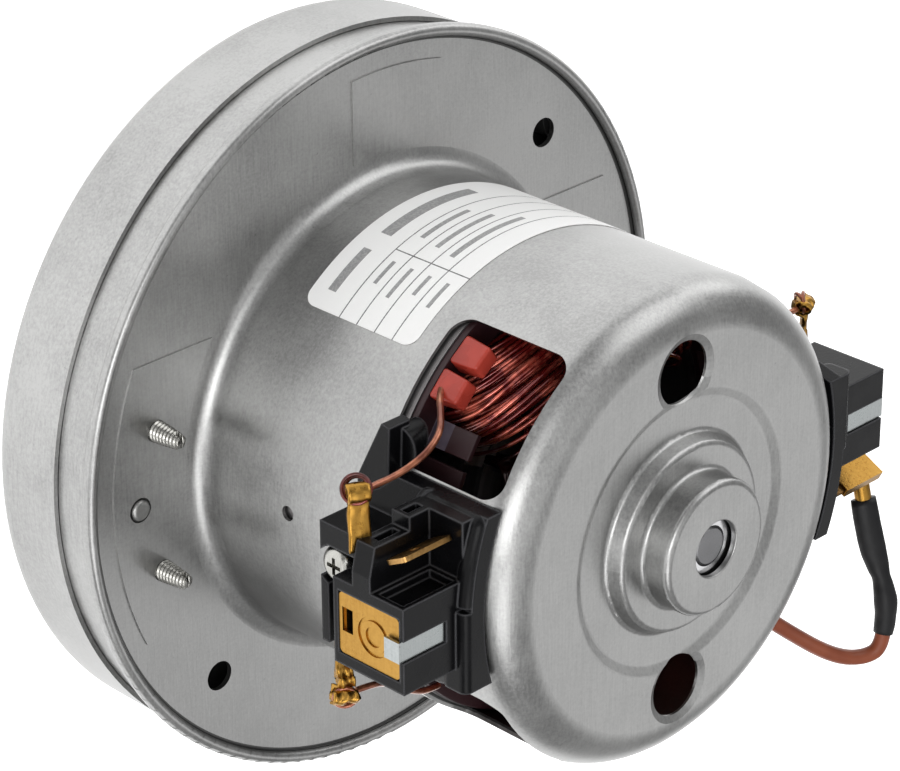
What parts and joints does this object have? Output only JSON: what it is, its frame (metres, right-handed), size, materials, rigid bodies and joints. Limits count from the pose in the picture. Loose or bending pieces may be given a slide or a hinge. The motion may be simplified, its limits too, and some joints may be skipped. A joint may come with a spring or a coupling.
{
  "type": "vacuum motor",
  "caption": "Series-wound vacuum cleaner motor: drawn steel frame, fan stage below, commutator, and a carbon brush holder on each side.",
  "frame": {"origin": "on the shaft axis, at the flat intake face that the motor stands on", "axes": "+Z along the shaft from the intake towards the end cap, +X towards brush holder A, -Y towards the label"},
  "size_m": [0.1342, 0.1342, 0.101],
  "materials": {
    "zinc_steel": "drawn sheet steel with a thin zinc coat, matt with fine brush marks",
    "pressed_steel": "plain pressed steel",
    "screw_steel": "zinc plated",
    "bearing_steel": "ground and polished",
    "shaft_steel": "turned steel",
    "lamination": "stacked silicon steel, dull",
    "aluminium_sheet": "plain rolled sheet",
    "label_film": "satin white film with plain ruled lines and bars",
    "red_enamel_copper": "dark red varnish over copper wire, with bright strands",
    "copper": "bright copper",
    "copper_lead": "enamelled copper wire, coppery brown",
    "brass_sheet": "plain brass sheet",
    "bronze_tab": "dull bronze sheet",
    "bright_strip": "bright spring steel",
    "carbon": "pressed graphite, matt black",
    "black_plastic": "moulded, satin black",
    "fan_plastic": "moulded, dark grey",
    "insulator_plastic": "dark grey with a purple cast",
    "red_plastic": "moulded red, satin",
    "sleeve_rubber": "black heat-shrink sleeve",
    "lead_rubber": "brown lead insulation",
    "hub_resin": "brown moulding resin"
  },
  "bodies": {
    "stator": {"fan_cover": "zinc_steel", "motor_frame": "zinc_steel", "label": "label_film", "load_bearing_bracket": "pressed_steel", "bracket_screws": "screw_steel", "fan_bearing_outer_ring": "bearing_steel", "fan_bearing_balls": "bearing_steel", "cap_bearing_outer_ring": "bearing_steel", "cap_bearing_balls": "bearing_steel", "bearing_sleeve": "black_plastic", "wave_washer": "bright_strip", "diffuser": "fan_plastic", "field_core": "lamination", "field_insulator_upper": "insulator_plastic", "field_insulator_lower": "insulator_plastic", "field_coil_front": "red_enamel_copper", "field_coil_rear": "red_enamel_copper", "field_winding_front": "red_enamel_copper", "field_winding_rear": "red_enamel_copper", "terminal_housings": "red_plastic", "holder_screws": "screw_steel", "supply_lead": "lead_rubber", "shrink_sleeve": "sleeve_rubber", "lead_receptacle": "brass_sheet", "brush_holder_a": "black_plastic", "brush_tube_a": "brass_sheet", "brush_cap_a": "brass_sheet", "brush_strip_a": "bright_strip", "brush_spring_a": "bright_strip", "spade_tab_a": "bronze_tab", "tang_upper_a": "brass_sheet", "tang_lower_a": "brass_sheet", "field_lead_a": "copper_lead", "tail_lead_a": "copper_lead", "brush_holder_b": "black_plastic", "brush_tube_b": "brass_sheet", "brush_cap_b": "brass_sheet", "brush_strip_b": "bright_strip", "brush_spring_b": "bright_strip", "spade_tab_b": "bronze_tab", "tang_upper_b": "brass_sheet", "tang_lower_b": "brass_sheet", "field_lead_b": "copper_lead", "tail_lead_b": "copper_lead"},
    "rotor": {"shaft": "shaft_steel", "armature_core": "lamination", "armature_winding": "red_enamel_copper", "commutator_hub": "hub_resin", "commutator_bars": "copper", "fan_bearing_inner_ring": "bearing_steel", "cap_bearing_inner_ring": "bearing_steel", "impeller_back_plate": "aluminium_sheet", "impeller_front_shroud": "aluminium_sheet", "impeller_blades": "aluminium_sheet", "impeller_washer": "screw_steel", "impeller_nut": "screw_steel", "impeller_spacer": "shaft_steel"},
    "brush_a": {"carbon_brush_a": "carbon"},
    "brush_b": {"carbon_brush_b": "carbon"}
  },
  "joints": [
    {"name": "rotor_spin", "type": "hinge", "parent": "stator", "child": "rotor", "pos_m": [0, 0, 0.05], "axis": [0, 0, 1], "continuous": true},
    {"name": "brush_a_slide", "type": "slide", "parent": "stator", "child": "brush_a", "axis": [1, 0, 0], "range_m": [0, 0.01], "stiffness_N_per_m": 150, "deforming": ["brush_spring_a"]},
    {"name": "brush_b_slide", "type": "slide", "parent": "stator", "child": "brush_b", "axis": [-1, 0, 0], "range_m": [0, 0.01], "stiffness_N_per_m": 150, "deforming": ["brush_spring_b"]}
  ]
}
